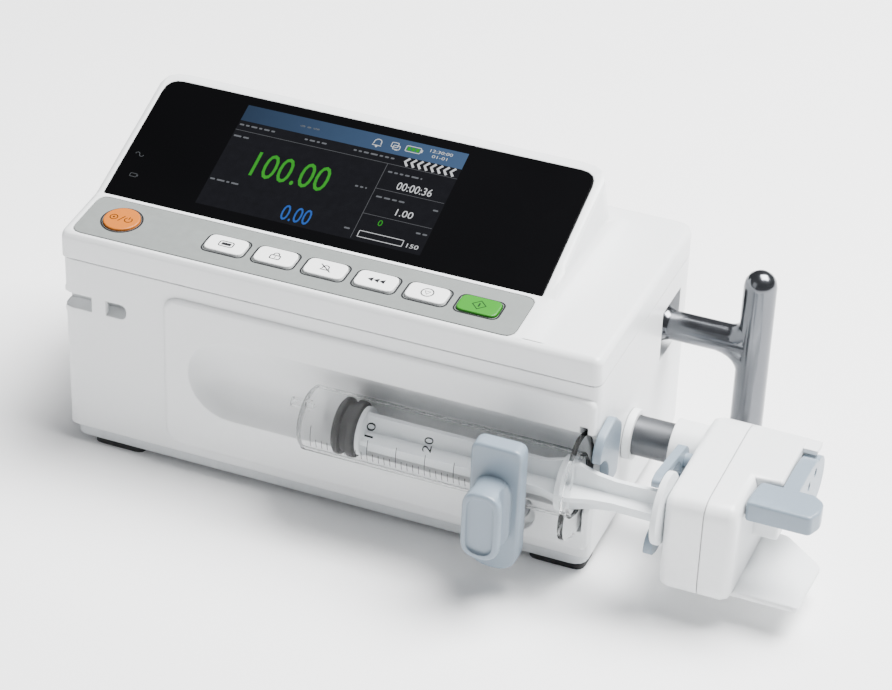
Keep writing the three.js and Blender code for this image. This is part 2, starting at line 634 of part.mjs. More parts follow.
function driveFrame() {
  const { y0, y1, z0, z1, sheet, plates } = FRAME;
  const floor = block(plates[0], plates[2] + sheet, y0, y1, z0, z0 + sheet);
  const upright = roundedRect(y0, y1, z0, z1, [0, 0, 4, 4]);
  const frame = join(floor, ...plates.map((x) => alongX(upright, x, x + sheet)));
  return cut(
    frame,
    bar('x', SCREW.bearing + GAP, plates[1] - 1, plates[1] + 4, [SCREW.y, SCREW.z], 24),
    bar('x', SCREW.bearing + GAP, plates[2] - 1, plates[2] + 4, [SCREW.y, SCREW.z], 24),
    bar('x', 4, plates[0] - 1, plates[0] + 4, [MOTOR.y, MOTOR.z], 16),
    bar('x', GUIDE.radius + GAP, plates[1] - 1, plates[2] + 4, [GUIDE.y, GUIDE.z], 20),
    bar('x', TUBE.radius + 1, plates[2] - 1, plates[2] + 4, [DRIVE.y, DRIVE.z], 24),
  );
}

function screwBearing(x) {
  const centre = [SCREW.y, SCREW.z];
  const ring = bar('x', SCREW.bearing, x, x + FRAME.sheet, centre);
  return cut(ring, bar('x', SCREW.journal + RUNNING, x - 1, x + 5, centre));
}

function stepperMotor() {
  const half = MOTOR.size / 2;
  const can = roundedRect(MOTOR.y - half, MOTOR.y + half, MOTOR.z - half, MOTOR.z + half, 3);
  return cut(alongX(can, 36, FRAME.plates[0] - GAP, 0.8, 3), bar('x', 2.9, 56, 70, [MOTOR.y, MOTOR.z], 24));
}

function leadScrew() {
  const { y, z, radius, journal } = SCREW;
  const [start, shoulder, end] = [69, 81, 209];
  return turnedX([
    [0, start],
    [journal, start],
    [journal, shoulder],
    [radius, shoulder + 1],
    [radius, FRAME.plates[2] - 2],
    [journal, FRAME.plates[2] - 1],
    [journal, end],
    [0, end],
  ], { y, z });
}

// Gear pair: the pinion has a tooth and the screw gear a gap on the line between the two axes.
function screwGear() {
  const wheel = alongX(gearOutline(SCREW_TEETH, Math.PI / SCREW_TEETH, SCREW.y, SCREW.z), 70.5, 75.5);
  return cut(wheel, bar('x', SCREW.journal + GAP, 70, 77, [SCREW.y, SCREW.z], 16));
}

function motorPinion() {
  const pinion = alongX(gearOutline(PINION_TEETH, Math.PI, MOTOR.y, MOTOR.z), 70, 76);
  return join(pinion, bar('x', 2.5, 57, 77, [MOTOR.y, MOTOR.z], 16));
}

function carriage() {
  const { x0, x1, y0, y1, z0, z1 } = CARRIAGE;
  return cut(
    alongX(roundedRect(y0, y1, z0, z1, 2), x0, x1),
    bar('x', TUBE.radius + GAP, x0 + 1, x1 + 1, [DRIVE.y, DRIVE.z]),
    bar('x', SHAFT_RADIUS + GAP, x0 - 1, x1 + 1, [DRIVE.y, DRIVE.z]),
    bar('x', GUIDE.radius + RUNNING, x0 - 1, x1 + 1, [GUIDE.y, GUIDE.z]),
  );
}

function driveTube() {
  const { radius, bore, start, end } = TUBE;
  const centre = [DRIVE.y, DRIVE.z];
  return cut(bar('x', radius, start + GAP, end, centre, 40), bar('x', bore, start - 1, end + 1, centre, 24));
}

// Block beside the carriage with a half-round nut that clasps the lead screw from below.
function halfNut() {
  const pinY = DRIVE.y - CAM_RADIUS;
  const { x0, x1, jawY0, jawY1, jawZ0 } = HALF_NUT;
  const stem = block(x0, x1, pinY - 4.8, CARRIAGE.y0 - GAP, 34, jawZ0 + 0.5);
  const jaw = block(x0, x1, jawY0, jawY1, jawZ0, SCREW.z);
  const slotHalf = PIN_RADIUS + 0.2;
  const [slotY0, slotY1] = [pinY - slotHalf, pinY + slotHalf + 0.7];
  const slot = roundedRect(slotY0, slotY1, DRIVE.z - slotHalf, DRIVE.z + slotHalf, 1.2);
  return cut(
    join(stem, jaw),
    bar('x', SCREW.radius + RUNNING, x0 - 1, x1 + 1, [SCREW.y, SCREW.z]),
    alongX(slot, x0 - 1, x1 + 1),
  );
}

// Rod through the drive tube with a cam arm and pin at its inner end.
function clutchShaft() {
  const pinY = DRIVE.y - CAM_RADIUS;
  const arm = outline([
    [DRIVE.y + 6, DRIVE.z - 6, 4],
    [DRIVE.y + 6, DRIVE.z + 6, 4],
    [pinY - 3, DRIVE.z + 4, 2],
    [pinY - 3, DRIVE.z - 4, 2],
  ]);
  return join(
    bar('x', SHAFT_RADIUS, 96, 296, [DRIVE.y, DRIVE.z], 24),
    alongX(arm, 95.6, CARRIAGE.x0 - GAP),
    bar('x', PIN_RADIUS, 97, 116, [pinY, DRIVE.z], 16),
  );
}

add('drive_frame', driveFrame(), 'aluminium');
add('guide_rod', bar('x', GUIDE.radius, FRAME.plates[1] - 2, 212, [GUIDE.y, GUIDE.z], 32), 'steel');
add('stepper_motor', stepperMotor(), 'black_plastic');
add('screw_bearing_left', screwBearing(FRAME.plates[1]), 'steel');
add('screw_bearing_right', screwBearing(FRAME.plates[2]), 'steel');
add('lead_screw', leadScrew(), 'steel');
add('screw_gear', screwGear(), 'brass');
add('motor_pinion', motorPinion(), 'brass');
add('carriage', carriage(), 'aluminium');
add('drive_tube', driveTube(), 'drive_tube');
add('half_nut', halfNut(), 'brass');
add('clutch_shaft', clutchShaft(), 'steel');

// ---- Pusher head --------------------------------------------------------------------------------

function headOutline() {
  const { y0, z0, z1, round } = HEAD;
  const back = DRIVE.y + round;
  return [[y0, z0, 7], [back, z0, 12], [back, z1, round], [y0, z1, 7]];
}

function hubOutline() {
  const { y0, z0 } = HUB_BOX;
  const back = DRIVE.y + HEAD.round;
  return [[y0, z0, 3], [back, z0, 8], [back, HEAD.z1, HEAD.round], [y0, HEAD.z1, 2]];
}

function headShellLeft() {
  const { x0, seam, wall } = HEAD;
  const beyondSeam = block(seam - GAP / 2, seam + 20, -50, 90, 0, 90);
  const outside = join(
    cut(alongX(outline(headOutline()), x0, seam + 8, HEAD_BEVEL), beyondSeam),
    bar('x', 10.3, x0 - 12.4, x0 + 2, [DRIVE.y, DRIVE.z]),
  );
  const cavity = alongX(outline(inset(headOutline(), wall)), x0 + wall, seam + 5);
  return cut(
    outside,
    cavity,
    bar('x', TUBE.radius + GAP, x0 - 20, x0 + 8, [DRIVE.y, DRIVE.z]),
    bar('x', CLAW.shaft + RUNNING, x0 - 2, x0 + 8, [CLAW.y, CLAW.upperZ], 24),
    bar('x', CLAW.shaft + RUNNING, x0 - 2, x0 + 8, [CLAW.y, CLAW.lowerZ], 24),
  );
}

// Right half with the hub box behind the paddle and the finger wing below it.
function headShellRight() {
  const { seam, x1, wall } = HEAD;
  const beforeSeam = block(seam - 20, seam + GAP / 2, -50, 90, 0, 90);
  const wing = outline([
    [x1 - 3, WING.y0, 1],
    [WING.x1 - 1, WING.y0, 2],
    [WING.x1, 24, 2],
    [289, WING.y1, 2],
    [x1 - 3, WING.y1, 1],
  ]);
  const tabZ = DRIVE.z + LEVER.hubRadius + 1.2;
  const outside = join(
    cut(alongX(outline(headOutline()), seam - 8, x1, HEAD_BEVEL), beforeSeam),
    alongX(outline(hubOutline()), x1 - 6, HUB_BOX.x1, 1.2),
    alongZ(wing, WING.z0, WING.z1, 0.6),
    block(HUB_BOX.x1 - 3, LEVER.x1 - 1.2, DRIVE.y, DRIVE.y + 7, tabZ, tabZ + 1.8),
  );
  const cavity = join(
    alongX(outline(inset(headOutline(), wall)), seam - 5, x1 - wall),
    alongX(outline(inset(hubOutline(), wall)), seam - 5, HUB_BOX.x1 - wall),
  );
  return cut(outside, cavity, bar('x', SHAFT_RADIUS + GAP, x1, HUB_BOX.x1 + 2, [DRIVE.y, DRIVE.z], 24));
}

// Lever: hub on the clutch shaft, arm to the front and a wide paddle across its end.
function releaseLever() {
  const { x0, x1, hubRadius } = LEVER;
  const hub = bar('x', hubRadius, x0, x1, [DRIVE.y, DRIVE.z]);
  const arm = outline([
    [DRIVE.y, DRIVE.z - hubRadius],
    [DRIVE.y, DRIVE.z + hubRadius + 0.4, 3],
    [30, 53.4, 6],
    [8, PADDLE.z1, 2],
    [6, PADDLE.z0, 2],
    [26, 42, 5],
  ]);
  const paddle = outline([
    [PADDLE.x0, PADDLE.y0, 1.5],
    [PADDLE.x1 - 2.4, PADDLE.y0, 1.5],
    [PADDLE.x1, PADDLE.y0 + 6, 1.5],
    [PADDLE.x1 - 0.8, PADDLE.y1 - 3.4, 1.5],
    [PADDLE.x1 - 5, PADDLE.y1, 1.5],
    [PADDLE.x0 + 1.4, PADDLE.y1, 1.5],
    [PADDLE.x0, PADDLE.y1 - 8, 1.5],
  ]);
  const lever = join(hub, alongX(arm, x0, x1, 0.6, 3), alongZ(paddle, PADDLE.z0, PADDLE.z1, 1, 3));
  const shaftHole = bar('x', SHAFT_RADIUS + GAP, x0 - 1, x1 - 0.6, [DRIVE.y, DRIVE.z], 24);
  return cut(lever, shaftHole, ...LEVER_SCREWS.map((spot) => bar('x', 1.8, x1 - 4, x1 + 1, spot, 16)));
}

function leverScrew([y, z]) {
  const driverSlot = block(LEVER.x1 - 1, LEVER.x1, y - 1.1, y + 1.1, z - 0.3, z + 0.3);
  return cut(bar('x', 1.5, LEVER.x1 - 3.6, LEVER.x1 - 0.4, [y, z], 16), driverSlot);
}

// The lever gear has a tooth and the upper claw a gap on the line between their axes.
function leverGear() {
  const firstTooth = CLAW_PHASE + Math.PI - 2 * (2 * Math.PI / LEVER_TEETH);
  const wheel = alongX(gearOutline(LEVER_TEETH, firstTooth, DRIVE.y, DRIVE.z, 5), 257, 259.8);
  return cut(wheel, bar('x', SHAFT_RADIUS + GAP, 256, 261, [DRIVE.y, DRIVE.z], 24));
}

function clawSolid(arm, z, gear, gearStart) {
  return join(
    alongX(circle(CLAW.y, z, CLAW.hub, 24), CLAW.x0, CLAW.x1),
    alongX(arm, CLAW.x0, CLAW.x1),
    bar('x', CLAW.shaft, CLAW.x1 - 1, 264, [CLAW.y, z], 24),
    alongX(gear, gearStart, 263),
  );
}

function upperClaw() {
  const arm = outline([
    [CLAW.y + 3, CLAW.upperZ - 1, 2],
    [CLAW.y + 3, CLAW.upperZ + 5.5, 3],
    [-4, 57.6, 2],
    [-8, 56.4, 1.4],
    [-7.4, 53.3, 1.2],
    [16, 51.8, 3],
    [CLAW.y - 4, CLAW.upperZ - 1, 1],
  ]);
  const firstTooth = CLAW_PHASE + Math.PI / CLAW_TEETH - 4 * (2 * Math.PI / CLAW_TEETH);
  return clawSolid(arm, CLAW.upperZ, gearOutline(CLAW_TEETH, firstTooth, CLAW.y, CLAW.upperZ, 6), 257);
}

// Its gear is the upper one mirrored and turned by half a pitch.
function lowerClaw() {
  const arm = outline([
    [CLAW.y + 3, CLAW.lowerZ + 1, 2],
    [16, 33.5, 4],
    [-1, 34.9, 2],
    [-10, 32, 2],
    [-12, 26, 3],
    [-4, 23.5, 3],
    [CLAW.y + 2, CLAW.lowerZ - 4.6, 3],
  ]);
  return clawSolid(arm, CLAW.lowerZ, gearOutline(CLAW_TEETH, -CLAW_PHASE, CLAW.y, CLAW.lowerZ, 5), 260.2);
}

function forceSensor() {
  return alongX(circle(-2, 44, 6, 24), HEAD.x0 + HEAD.wall + GAP, HEAD.x0 + HEAD.wall + 4);
}

add('head_shell_left', headShellLeft(), 'white_plastic');
add('head_shell_right', headShellRight(), 'white_plastic');
add('force_sensor', forceSensor(), 'steel');
add('release_lever', releaseLever(), 'clamp_plastic');
LEVER_SCREWS.forEach((spot, i) => add(`lever_screw_${i + 1}`, leverScrew(spot), 'steel'));
add('lever_gear', leverGear(), 'brass');
add('upper_claw', upperClaw(), 'clamp_plastic');
add('lower_claw', lowerClaw(), 'clamp_plastic');

// ---- Barrel clamp -------------------------------------------------------------------------------

// Plate that holds the barrel down, with a waisted grip whose front is dished.
function barrelClamp() {
  const { x, z, front, back, knobFront, stem } = CLAMP;
  const plate = roundedRect(x - 10, x + 10, z - 10, z + 44.5, [9.5, 9.5, 4, 4]);
  const [knobX0, knobX1, knobZ0, knobZ1] = [x - 8, x + 7, z + 2.4, z + 31.5];
  const knob = roundedRect(knobX0, knobX1, knobZ0, knobZ1, 7);
  const dish = roundedRect(knobX0 + 2.2, knobX1 - 2.2, knobZ0 + 2.2, knobZ1 - 2.2, 5);
  const whole = join(alongY(plate, front, back, 1, 6), alongY(knob, knobFront, front + 1, 1, 6));
  const waistY = (knobFront + front) / 2 + 0.6;
  return cut(
    whole,
    bar('y', stem + GAP, back - 4, back + 1, [x, z]),
    alongY(dish, knobFront - 4, knobFront + 1.2, 1, 4),
    bar('z', 5, z, z + 35, [knobX0 - 2.4, waistY], 24),
    bar('z', 5, z, z + 35, [knobX1 + 2.4, waistY], 24),
  );
}

function clampStem() {
  const { x, z, back, stem, neck } = CLAMP;
  return join(
    bar('y', stem, back - 3.7, 38, [x, z], 24),
    bar('y', neck, 37, 45, [x, z], 24),
    bar('y', stem, 44.2, 46, [x, z], 24),
  );
}

function clampSlider() {
  const { x, z, neck } = CLAMP;
  const half = 5.7;
  const nut = block(x - half, x + half, 38.3, 43.9, z - half, z + half);
  return cut(nut, bar('y', neck + RUNNING, 36, 46, [x, z], 24));
}

// Coil between the front wall and the slider, drawn as one wire.
function clampSpring() {
  const turns = 5;
  const radius = 6.2;
  const [start, end] = [8, 37.4];
  class Coil extends THREE.Curve {
    getPoint(t, target = new THREE.Vector3()) {
      const angle = 2 * Math.PI * turns * t;
      const along = start + (end - start) * t;
      return target.set(CLAMP.x + radius * Math.cos(angle), along, CLAMP.z + radius * Math.sin(angle));
    }
  }
  const options = { steps: turns * 10, extrudePath: new Coil(), bevelEnabled: false };
  return solid(new THREE.ExtrudeGeometry(circle(0, 0, 0.7, 6), options));
}

add('barrel_clamp', barrelClamp(), 'clamp_plastic');
add('clamp_stem', clampStem(), 'steel');
add('clamp_slider', clampSlider(), 'black_plastic');
add('clamp_spring', clampSpring(), 'steel');

// ---- Syringe ------------------------------------------------------------------------------------

function syringeBarrel() {
  const { y, z, outer, bore, start, flange, end } = SYRINGE;
  const tube = turnedX([
    [0, start],
    [outer - 1.2, start],
    [outer, start + 1.2],
    [outer, end],
    [bore, end],
    [bore, start + 2],
    [0, start + 2],
  ], { y, z }, 40);
  const flat = extrusion(roundedRect(-14, 14, -20.5, 20.5, 12), end - flange, 0, 6);
  const ears = solid(flat.applyMatrix4(ALONG_X).rotateX(-FLANGE_TILT).translate(flange, y, z));
  const tipZ = z + 5;
  const nozzle = turnedX([
    [0, start - 7],
    [1.95, start - 7],
    [2.2, start + 1],
    [0, start + 1],
  ], { y, z: tipZ }, 24);
  const channel = bar('x', 1, start - 8, start + 3, [y, tipZ], 16);
  return cut(join(tube, cut(ears, bar('x', bore, flange - 1, end + 1, [y, z], 40)), nozzle), channel);
}

function syringeStopper() {
  const { start, end, radius } = STOPPER;
  const neck = radius - 1.6;
  return turnedX([
    [0, start],
    [radius - 1, start + 0.4],
    [radius, start + 1.4],
    [radius, start + 3],
    [neck, start + 3.6],
    [neck, end - 3.6],
    [radius, end - 3],
    [radius, end - 1],
    [radius - 1, end],
    [0, end],
  ], SYRINGE, 24);
}

// Cross-ribbed rod that flares at the barrel's mouth, with a disc behind the stopper and the thumb plate.
function syringePlunger() {
  const { y, z } = SYRINGE;
  const rodStart = STOPPER.end + GAP;
  const halfWidths = [
    [rodStart, 8.2],
    [205, 8.2],
    [213, 10.6],
    [217, 10.4],
    [221, 9],
    [226, 7.6],
    [233, 6.7],
    [THUMB_PLATE.x0 + 1, 7],
  ];
  const rib = (middle) => outline([
    ...halfWidths.map(([x, half]) => [x, middle - half]),
    ...halfWidths.toReversed().map(([x, half]) => [x, middle + half]),
  ]);
  return join(
    bar('x', 9.6, rodStart, rodStart + 1.8, [y, z], 24),
    alongZ(rib(y), z - 1, z + 1),
    alongY(rib(z), y - 1, y + 1),
    bar('x', 10.6, 212, 214, [y, z], 24),
    alongX(circle(y, z, THUMB_PLATE.radius, 36), THUMB_PLATE.x0, THUMB_PLATE.x1, 0.4),
  );
}

add('syringe_barrel', syringeBarrel(), 'clear_plastic');
add('syringe_stopper', syringeStopper(), 'rubber');
add('syringe_plunger', syringePlunger(), 'clear_plastic');

export default group;
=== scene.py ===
"""Looks of the syringe pump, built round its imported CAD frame.

Blender works in metres. The marks' own sizes and places are in millimetres and are scaled by MM.
"""
import json
import math
import random

import bmesh
import bpy
from mathutils import Matrix, Vector


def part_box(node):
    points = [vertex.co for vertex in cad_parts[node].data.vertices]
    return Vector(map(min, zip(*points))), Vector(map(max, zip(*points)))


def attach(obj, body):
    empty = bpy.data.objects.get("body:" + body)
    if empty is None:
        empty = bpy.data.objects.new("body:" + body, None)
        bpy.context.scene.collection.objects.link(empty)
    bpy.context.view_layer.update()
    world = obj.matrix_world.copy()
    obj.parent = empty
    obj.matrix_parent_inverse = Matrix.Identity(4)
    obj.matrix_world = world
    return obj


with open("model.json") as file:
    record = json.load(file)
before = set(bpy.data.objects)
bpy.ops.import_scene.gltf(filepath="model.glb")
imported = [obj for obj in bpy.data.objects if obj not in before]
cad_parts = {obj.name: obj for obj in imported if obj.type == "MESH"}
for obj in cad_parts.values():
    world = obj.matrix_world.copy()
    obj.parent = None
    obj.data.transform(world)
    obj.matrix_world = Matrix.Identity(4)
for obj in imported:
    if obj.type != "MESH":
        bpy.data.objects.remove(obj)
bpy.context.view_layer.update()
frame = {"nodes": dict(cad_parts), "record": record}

MM = 0.001
DISPLAY_ANGLE = math.radians(22.1)
KEYPAD_ANGLE = math.radians(5.1)
DECAL = 0.04 * MM   # height of printed marks above their surface
rng = random.Random(7)

# ---- Camera -----------------------------------------------------------------------------------
FOCAL_LENGTH = 112.69
SENSOR_WIDTH = 36
TARGET = (-0.011785, 0.01235, 0.053797)   # metres, as is the distance
DISTANCE = 1.0955
AZIMUTH = math.radians(20.96)
ELEVATION = math.radians(32.375)
ROLL = math.radians(2.22)


def make_camera():
    back = Vector((
        math.sin(AZIMUTH) * math.cos(ELEVATION),
        -math.cos(AZIMUTH) * math.cos(ELEVATION),
        math.sin(ELEVATION),
    ))
    right = Vector((math.cos(AZIMUTH), math.sin(AZIMUTH), 0))
    up = back.cross(right)
    turned_right = math.cos(ROLL) * right + math.sin(ROLL) * up
    turned_up = math.cos(ROLL) * up - math.sin(ROLL) * right
    data = bpy.data.cameras.new("camera")
    data.lens = FOCAL_LENGTH
    data.sensor_width = SENSOR_WIDTH
    data.clip_start = 10 * MM
    camera = bpy.data.objects.new("camera", data)
    bpy.context.scene.collection.objects.link(camera)
    rotation = Matrix((turned_right, turned_up, back)).transposed().to_4x4()
    camera.matrix_world = Matrix.Translation(Vector(TARGET) + DISTANCE * back) @ rotation
    bpy.context.scene.camera = camera


make_camera()

# ---- Materials --------------------------------------------------------------------------------
NOISE_SPAN = (0.3, 0.7)      # where most noise values fall
CONVEX_SPAN = (0.53, 0.62)   # pointiness, from a soft edge to a sharp one
MARK_SPECULAR = 0.1          # low, so that ink and lit marks keep their colour


class Nodes:
    """Thin helper round one material's node tree."""

    def __init__(self, name):
        self.material = bpy.data.materials.new(name)
        self.material.use_nodes = True
        self.tree = self.material.node_tree
        self.shader = self.tree.nodes["Principled BSDF"]
        self.coordinates = self.tree.nodes.new("ShaderNodeTexCoord").outputs["Object"]

    def link(self, a, b):
        self.tree.links.new(a, b)

    def noise(self, scale, detail=4, roughness=0.55, stretch=None):
        node = self.tree.nodes.new("ShaderNodeTexNoise")
        node.inputs["Scale"].default_value = scale
        node.inputs["Detail"].default_value = detail
        node.inputs["Roughness"].default_value = roughness
        if stretch:
            mapping = self.tree.nodes.new("ShaderNodeMapping")
            mapping.inputs["Scale"].default_value = stretch
            self.link(self.coordinates, mapping.inputs["Vector"])
            self.link(mapping.outputs["Vector"], node.inputs["Vector"])
        else:
            self.link(self.coordinates, node.inputs["Vector"])
        return node.outputs["Fac"]

    def spread(self, value, low, high):
        """Maps a noise value's usual span to low..high."""
        node = self.tree.nodes.new("ShaderNodeMapRange")
        node.inputs["From Min"].default_value = NOISE_SPAN[0]
        node.inputs["From Max"].default_value = NOISE_SPAN[1]
        node.inputs["To Min"].default_value = low
        node.inputs["To Max"].default_value = high
        self.link(value, node.inputs["Value"])
        return node.outputs["Result"]

    def mix(self, factor, a, b):
        node = self.tree.nodes.new("ShaderNodeMix")
        node.data_type = "RGBA"
        self.link(factor, node.inputs["Factor"])
        for name, colour in (("A", a), ("B", b)):
            socket = [s for s in node.inputs if s.name == name and s.type == "RGBA"][0]
            if isinstance(colour, tuple):
                socket.default_value = (*colour, 1)
            else:
                self.link(colour, socket)
        return [s for s in node.outputs if s.type == "RGBA"][0]

    def bump(self, height, strength, distance, normal=None):
        node = self.tree.nodes.new("ShaderNodeBump")
        node.inputs["Strength"].default_value = strength
        node.inputs["Distance"].default_value = distance
        self.link(height, node.inputs["Height"])
        if normal is not None:
            self.link(normal, node.inputs["Normal"])
        return node.outputs["Normal"]

    def edge(self, radius):
        """Normals rounded over sharp edges."""
        node = self.tree.nodes.new("ShaderNodeBevel")
        node.samples = 4
        node.inputs["Radius"].default_value = radius
        return node.outputs["Normal"]

    def wear(self):
        """0 on flat ground, towards 1 along convex edges, broken up by noise."""
        pointed = self.tree.nodes.new("ShaderNodeNewGeometry").outputs["Pointiness"]
        ramp = self.tree.nodes.new("ShaderNodeMapRange")
        ramp.inputs["From Min"].default_value = CONVEX_SPAN[0]
        ramp.inputs["From Max"].default_value = CONVEX_SPAN[1]
        self.link(pointed, ramp.inputs["Value"])
        product = self.tree.nodes.new("ShaderNodeMath")
        product.operation = "MULTIPLY"
        self.link(ramp.outputs["Result"], product.inputs[0])
        self.link(self.spread(self.noise(300), 0, 1), product.inputs[1])
        return product.outputs["Value"]

    def finish(self, colour, roughness, normal):
        for name, value in (("Base Color", colour), ("Roughness", roughness), ("Normal", normal)):
            self.link(value, self.shader.inputs[name])
        return self.material


def shade(colour, factor):
    return tuple(min(1, c * factor) for c in colour)


def plastic(name, colour, roughness=0.42, grain=1800, depth=0.35, edge=0.35, coat=0.0, worn=1.12):
    """Moulded plastic: fine spark-eroded grain, faint flow marks, handled patches, paler edges."""
    n = Nodes(name)
    flow = n.mix(n.spread(n.noise(9, 3), 0, 1), shade(colour, 0.975), shade(colour, 1.015))
    speckle = n.mix(n.spread(n.noise(700, 2), 0, 0.25), flow, shade(colour, 0.95))
    base = n.mix(n.wear(), speckle, shade(colour, worn))
    handled = n.spread(n.noise(24, 5), roughness - 0.06, roughness + 0.07)
    grained = n.bump(n.noise(grain, 2, 0.7), depth, 0.03 * MM, n.edge(edge * MM))
    waves = n.bump(n.noise(14, 2), 0.12, 0.4 * MM, grained)
    n.shader.inputs["Coat Weight"].default_value = coat
    n.shader.inputs["Coat Roughness"].default_value = 0.2
    n.shader.inputs["IOR"].default_value = 1.5
    return n.finish(base, handled, waves)


def metal(name, colour, roughness, stretch, streak=0.3, edge=0.2):
    """Bare or plated metal with machining streaks along one direction and dull handling marks."""
    n = Nodes(name)
    base = n.mix(n.spread(n.noise(40, 5), 0, 1), shade(colour, 0.93), shade(colour, 1.05))
    marks = n.spread(n.noise(60, 6, 0.65), roughness * 0.75, roughness * 1.35 + 0.02)
    lines = n.bump(n.noise(900, 3, 0.6, stretch), streak, 0.01 * MM, n.edge(edge * MM))
    n.shader.inputs["Metallic"].default_value = 1
    return n.finish(base, marks, lines)


def glossy_black(name):
    """Back-printed acrylic: deep black, dust and hairline scratches in the gloss."""
    n = Nodes(name)
    base = n.mix(n.spread(n.noise(5, 3), 0, 1), (0.0012, 0.0012, 0.0014), (0.0026, 0.0026, 0.003))
    dust = n.spread(n.noise(160, 6, 0.75), 0.06, 0.14)
    scratches = n.bump(n.noise(260, 2, 0.5, (12, 1, 1)), 0.03, 0.01 * MM, n.edge(0.3 * MM))
    n.shader.inputs["IOR"].default_value = 1.49
    n.shader.inputs["Specular IOR Level"].default_value = 0.06
    return n.finish(base, dust, scratches)


def rubber(name):
    """Matt black rubber, chalky along its edges."""
    n = Nodes(name)
    base = n.mix(n.spread(n.noise(90, 5), 0, 1), (0.004, 0.004, 0.005), (0.009, 0.009, 0.01))
    chalk = n.mix(n.wear(), base, (0.02, 0.02, 0.02))
    dull = n.spread(n.noise(50, 4), 0.55, 0.75)
    return n.finish(chalk, dull, n.bump(n.noise(1400, 3), 0.4, 0.05 * MM, n.edge(0.3 * MM)))


def clear_plastic(name, tint, roughness, transmission):
    """Thin-walled moulded polypropylene: milky, with flow lines along the barrel."""
    n = Nodes(name)
    cloud = n.mix(n.spread(n.noise(30, 3), 0, 1), shade(tint, 0.97), shade(tint, 1.03))
    haze = n.spread(n.noise(60, 4), roughness - 0.04, roughness + 0.06)
    lines = n.bump(n.noise(120, 3, 0.6, (1, 6, 6)), 0.12, 0.05 * MM)
    n.shader.inputs["Transmission Weight"].default_value = transmission
    n.shader.inputs["IOR"].default_value = 1.1
    n.shader.inputs["Specular IOR Level"].default_value = 0.35
    return n.finish(cloud, haze, lines)


def printed(name, colour, roughness=0.45, glow=0.0):
    """Ink or a lit screen mark, slightly uneven."""
    n = Nodes(name)
    n.shader.inputs["Specular IOR Level"].default_value = MARK_SPECULAR
    base = n.mix(n.spread(n.noise(400, 4), 0, 1), shade(colour, 0.9), shade(colour, 1.04))
    dull = n.spread(n.noise(200, 3), roughness - 0.05, roughness + 0.05)
    if glow:
        n.link(base, n.shader.inputs["Emission Color"])
        n.shader.inputs["Emission Strength"].default_value = glow
        base = n.mix(n.noise(300), (0.002, 0.002, 0.0025), (0.004, 0.004, 0.005))
    return n.finish(base, dull, n.bump(n.noise(900, 2), 0.1, 0.01 * MM))


def circuit_board(name):
    """Green solder mask over glass weave."""
    n = Nodes(name)
    weave = n.spread(n.noise(150, 2, 0.4, (1, 6, 1)), 0, 1)
    base = n.mix(weave, (0.01, 0.09, 0.04), (0.02, 0.2, 0.08))
    return n.finish(base, n.spread(n.noise(90), 0.3, 0.5), n.bump(n.noise(500, 2), 0.3, 0.05 * MM))


WHITE = (0.80, 0.815, 0.82)
CLAMP_BLUE = (0.19, 0.24, 0.29)
FINISHES = {
    "white_plastic": plastic("white_plastic", WHITE, 0.36, edge=0.9, coat=0.15, worn=1.05),
    "grey_plastic": plastic("grey_plastic", (0.62, 0.645, 0.66), 0.45),
    "clamp_plastic": plastic("clamp_plastic", CLAMP_BLUE, 0.36, edge=0.8, coat=0.1),
    "black_plastic": plastic("black_plastic", (0.018, 0.018, 0.02), 0.45, worn=2.0),
    "screen_glass": glossy_black("screen_glass"),
    "keypad_film": plastic("keypad_film", (0.165, 0.178, 0.172), 0.5, grain=2600, depth=0.25),
    "key_white": plastic("key_white", (0.84, 0.85, 0.845), 0.42, edge=0.5),
    "key_orange": plastic("key_orange", (0.44, 0.115, 0.0015), 0.42, edge=0.5),
    "key_green": plastic("key_green", (0.013, 0.19, 0.001), 0.42, edge=0.5),
    "rubber": rubber("rubber"),
    "chrome": metal("chrome", (0.14, 0.146, 0.158), 0.17, (1, 1, 12), 0.12, 0.3),
    "steel": metal("steel", (0.56, 0.57, 0.58), 0.28, (10, 1, 1)),
    "aluminium": metal("aluminium", (0.66, 0.67, 0.68), 0.38, (10, 1, 1)),
    "drive_tube": metal("drive_tube", (0.105, 0.109, 0.116), 0.42, (1, 14, 14), 0.25),
    "brass": metal("brass", (0.62, 0.42, 0.16), 0.3, (10, 1, 1)),
    "circuit_board": circuit_board("circuit_board"),
    "clear_plastic": clear_plastic("clear_plastic", (0.985, 0.992, 0.996), 0.05, 0.985),
}
MILKY_PLASTIC = clear_plastic("milky_plastic", (0.86, 0.89, 0.905), 0.32, 0.3)
INK_BLACK = printed("ink_black", (0.015, 0.015, 0.017))
INK_GREY = printed("ink_grey", (0.03, 0.032, 0.035))

# ---- CAD nodes --------------------------------------------------------------------------------
WELD = 0.005 * MM                 # packed facets closer than this share their corners
SMOOTH_LIMIT = math.radians(50)   # edges flatter than this are shaded smooth
FLAT_WEIGHT = 80                  # how strongly large flats hold their normals


